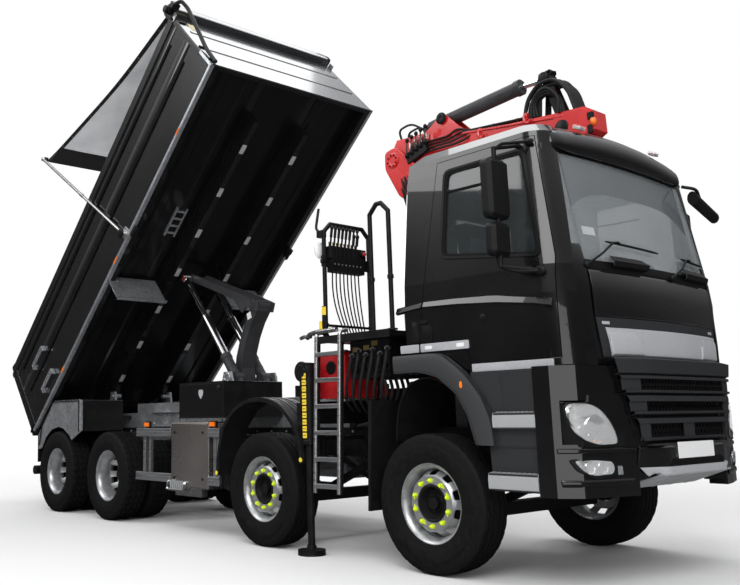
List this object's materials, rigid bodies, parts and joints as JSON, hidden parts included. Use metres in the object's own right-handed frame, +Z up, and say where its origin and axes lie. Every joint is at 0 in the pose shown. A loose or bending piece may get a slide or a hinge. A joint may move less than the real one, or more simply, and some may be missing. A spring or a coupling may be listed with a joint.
{
  "type": "dump truck",
  "caption": "Four-axle rear tipper truck: day cab, raised open body with roll sheet, lever hoist and folded loader crane behind the cab.",
  "frame": {"origin": "on the ground below the middle of the bounding box", "axes": "+X forward along the truck, +Y to its left, +Z up"},
  "size_m": [9.5676, 2.98, 6.0826],
  "materials": {
    "black_paint": "high gloss",
    "dark_plastic": "fine grain",
    "guard_plastic": "satin",
    "flap_rubber": "matt",
    "chassis_paint": "satin",
    "galvanised": "zinc",
    "engine_iron": "rough",
    "crane_paint": "gloss",
    "barrel_steel": "satin",
    "rod_chrome": "polished",
    "arm_chrome": "polished",
    "mesh_cloth": "open mesh",
    "cab_window": "clear",
    "lamp_lens": "clear",
    "interior_trim": "grained",
    "stainless": "bright",
    "aluminium": "satin",
    "tyre_rubber": "matt"
  },
  "bodies": {
    "chassis": {"chassis_frame": "chassis_paint", "subframe": "galvanised", "front_axles": "chassis_paint", "rear_axles": "chassis_paint", "leaf_springs": "chassis_paint", "engine_block": "engine_iron", "cab_shell": "black_paint", "cab_glass": "cab_window", "cab_interior": "interior_trim", "bumper": "black_paint", "lamp_surround": "black_paint", "head_lamps": "lamp_lens", "grille": "dark_plastic", "step_panels": "dark_plastic", "mudguards": "guard_plastic", "mudflaps": "flap_rubber", "side_box": "stainless", "fuel_tank": "aluminium", "side_guards": "aluminium", "cross_box": "chassis_paint", "underrun_bar": "chassis_paint", "crane_base": "chassis_paint", "platform": "guard_plastic", "control_stand": "chassis_paint", "oil_tank": "crane_paint"},
    "tipper": {"tipper_body": "black_paint", "load_sheet": "mesh_cloth"},
    "tailgate": {"tailgate": "black_paint"},
    "sheet_arms": {"sheet_arms": "arm_chrome"},
    "hoist_column": {"hoist_column": "chassis_paint"},
    "hoist_lever": {"hoist_lever": "chassis_paint"},
    "ram_barrels": {"ram_barrels": "barrel_steel"},
    "ram_stages": {"ram_stages": "barrel_steel"},
    "ram_rods": {"ram_rods": "rod_chrome"},
    "crane_mast": {"crane_mast": "crane_paint"},
    "inner_boom": {"inner_boom": "crane_paint"},
    "outer_boom": {"outer_boom": "crane_paint"},
    "boom_extension": {"boom_extension": "crane_paint"},
    "door_right": {"door_right": "black_paint", "door_glass_right": "cab_window", "mirrors_right": "black_paint"},
    "knuckle_1_right": {"knuckle_1_right": "chassis_paint"},
    "wheel_1_right": {"wheel_1_right": "tyre_rubber"},
    "knuckle_2_right": {"knuckle_2_right": "chassis_paint"},
    "wheel_2_right": {"wheel_2_right": "tyre_rubber"},
    "twin_wheels_3_right": {"twin_wheels_3_right": "tyre_rubber"},
    "twin_wheels_4_right": {"twin_wheels_4_right": "tyre_rubber"},
    "outrigger_right": {"outrigger_right": "crane_paint"},
    "leg_right": {"leg_right": "crane_paint"},
    "door_left": {"door_left": "black_paint", "door_glass_left": "cab_window", "mirrors_left": "black_paint"},
    "knuckle_1_left": {"knuckle_1_left": "chassis_paint"},
    "wheel_1_left": {"wheel_1_left": "tyre_rubber"},
    "knuckle_2_left": {"knuckle_2_left": "chassis_paint"},
    "wheel_2_left": {"wheel_2_left": "tyre_rubber"},
    "twin_wheels_3_left": {"twin_wheels_3_left": "tyre_rubber"},
    "twin_wheels_4_left": {"twin_wheels_4_left": "tyre_rubber"},
    "outrigger_left": {"outrigger_left": "crane_paint"},
    "leg_left": {"leg_left": "crane_paint"}
  },
  "joints": [
    {"name": "tip", "type": "hinge", "parent": "chassis", "child": "tipper", "pos_m": [-3.038, 0, 1.5], "axis": [0, -1, 0], "range_deg": [-42.5, 0]},
    {"name": "tailgate_swing", "type": "hinge", "parent": "tipper", "child": "tailgate", "pos_m": [-4.73411, 0, 1.96404], "axis": [0, 1, 0], "range_deg": [0, 60]},
    {"name": "sheet_arms_swing", "type": "hinge", "parent": "tipper", "child": "sheet_arms", "pos_m": [-1.35534, 0, 3.41894], "axis": [0, 1, 0], "range_deg": [-49, 67], "deforming": ["load_sheet"]},
    {"name": "column_swing", "type": "hinge", "parent": "chassis", "child": "hoist_column", "pos_m": [-0.543, 0, 1.527], "axis": [0, -1, 0], "range_deg": [-72.81, 0.5]},
    {"name": "lever_swing", "type": "hinge", "parent": "hoist_column", "child": "hoist_lever", "pos_m": [-0.24363, 0, 2.50208], "axis": [0, -1, 0], "range_deg": [-0.5, 89.22]},
    {"name": "ram_swing", "type": "hinge", "parent": "chassis", "child": "ram_barrels", "pos_m": [-0.478, 0, 1.64], "axis": [0, -1, 0], "range_deg": [-0.5, 51.85]},
    {"name": "ram_stage_slide", "type": "slide", "parent": "ram_barrels", "child": "ram_stages", "axis": [-0.6357, 0, 0.7719], "range_m": [-0.6434, 0.005]},
    {"name": "ram_rod_slide", "type": "slide", "parent": "ram_stages", "child": "ram_rods", "axis": [-0.6357, 0, 0.7719], "range_m": [-0.6434, 0.005]},
    {"name": "door_right_swing", "type": "hinge", "parent": "chassis", "child": "door_right", "pos_m": [4.482, -1.172, 1.7], "axis": [0, 0, 1], "range_deg": [0, 70]},
    {"name": "door_left_swing", "type": "hinge", "parent": "chassis", "child": "door_left", "pos_m": [4.482, 1.172, 1.7], "axis": [0, 0, -1], "range_deg": [0, 70]},
    {"name": "steer_1_right", "type": "hinge", "parent": "chassis", "child": "knuckle_1_right", "pos_m": [3.322, -0.985, 0.518], "axis": [0, 0, 1], "range_deg": [-32, 32]},
    {"name": "roll_1_right", "type": "hinge", "parent": "knuckle_1_right", "child": "wheel_1_right", "pos_m": [3.322, -1.088, 0.518], "axis": [0, 1, 0], "continuous": true},
    {"name": "steer_1_left", "type": "hinge", "parent": "chassis", "child": "knuckle_1_left", "pos_m": [3.322, 0.985, 0.518], "axis": [0, 0, 1], "range_deg": [-32, 32]},
    {"name": "roll_1_left", "type": "hinge", "parent": "knuckle_1_left", "child": "wheel_1_left", "pos_m": [3.322, 1.088, 0.518], "axis": [0, 1, 0], "continuous": true},
    {"name": "steer_2_right", "type": "hinge", "parent": "chassis", "child": "knuckle_2_right", "pos_m": [1.274, -0.985, 0.518], "axis": [0, 0, 1], "range_deg": [-20, 20]},
    {"name": "roll_2_right", "type": "hinge", "parent": "knuckle_2_right", "child": "wheel_2_right", "pos_m": [1.274, -1.088, 0.518], "axis": [0, 1, 0], "continuous": true},
    {"name": "steer_2_left", "type": "hinge", "parent": "chassis", "child": "knuckle_2_left", "pos_m": [1.274, 0.985, 0.518], "axis": [0, 0, 1], "range_deg": [-20, 20]},
    {"name": "roll_2_left", "type": "hinge", "parent": "knuckle_2_left", "child": "wheel_2_left", "pos_m": [1.274, 1.088, 0.518], "axis": [0, 1, 0], "continuous": true},
    {"name": "roll_3_right", "type": "hinge", "parent": "chassis", "child": "twin_wheels_3_right", "pos_m": [-1.752, -0.912, 0.518], "axis": [0, 1, 0], "continuous": true},
    {"name": "roll_3_left", "type": "hinge", "parent": "chassis", "child": "twin_wheels_3_left", "pos_m": [-1.752, 0.912, 0.518], "axis": [0, 1, 0], "continuous": true},
    {"name": "roll_4_right", "type": "hinge", "parent": "chassis", "child": "twin_wheels_4_right", "pos_m": [-3.148, -0.912, 0.518], "axis": [0, 1, 0], "continuous": true},
    {"name": "roll_4_left", "type": "hinge", "parent": "chassis", "child": "twin_wheels_4_left", "pos_m": [-3.148, 0.912, 0.518], "axis": [0, 1, 0], "continuous": true},
    {"name": "crane_slew", "type": "hinge", "parent": "chassis", "child": "crane_mast", "pos_m": [2.522, -0.15, 1.48], "axis": [0, 0, 1], "range_deg": [-180, 180]},
    {"name": "inner_boom_lift", "type": "hinge", "parent": "crane_mast", "child": "inner_boom", "pos_m": [2.242, -0.15, 3.64], "axis": [0, -1, 0], "range_deg": [0, 80]},
    {"name": "outer_boom_fold", "type": "hinge", "parent": "inner_boom", "child": "outer_boom", "pos_m": [4.082, 0, 3.48], "axis": [0, 1, 0], "range_deg": [0, 170]},
    {"name": "boom_extend", "type": "slide", "parent": "outer_boom", "child": "boom_extension", "axis": [-1, 0, 0], "range_m": [0, 1.2]},
    {"name": "outrigger_right_slide", "type": "slide", "parent": "chassis", "child": "outrigger_right", "axis": [0, -1, 0], "range_m": [0, 0.6]},
    {"name": "leg_right_lift", "type": "slide", "parent": "outrigger_right", "child": "leg_right", "axis": [0, 0, 1], "range_m": [0, 0.45]},
    {"name": "outrigger_left_slide", "type": "slide", "parent": "chassis", "child": "outrigger_left", "axis": [0, 1, 0], "range_m": [0, 0.6]},
    {"name": "leg_left_lift", "type": "slide", "parent": "outrigger_left", "child": "leg_left", "axis": [0, 0, 1], "range_m": [0, 0.45]}
  ],
  "couplings": [
    {"joint": "column_swing", "follows": "tip", "ratio": 1.7013},
    {"joint": "lever_swing", "follows": "tip", "ratio": -2.0875},
    {"joint": "ram_swing", "follows": "tip", "ratio": -1.2082},
    {"joint": "ram_stage_slide", "follows": "tip", "m_per_rad": 0.86067},
    {"joint": "ram_rod_slide", "follows": "tip", "m_per_rad": 0.86067},
    {"joint": "steer_1_left", "follows": "steer_1_right", "ratio": 1},
    {"joint": "steer_2_right", "follows": "steer_1_right", "ratio": 0.6},
    {"joint": "steer_2_left", "follows": "steer_1_right", "ratio": 0.6}
  ]
}
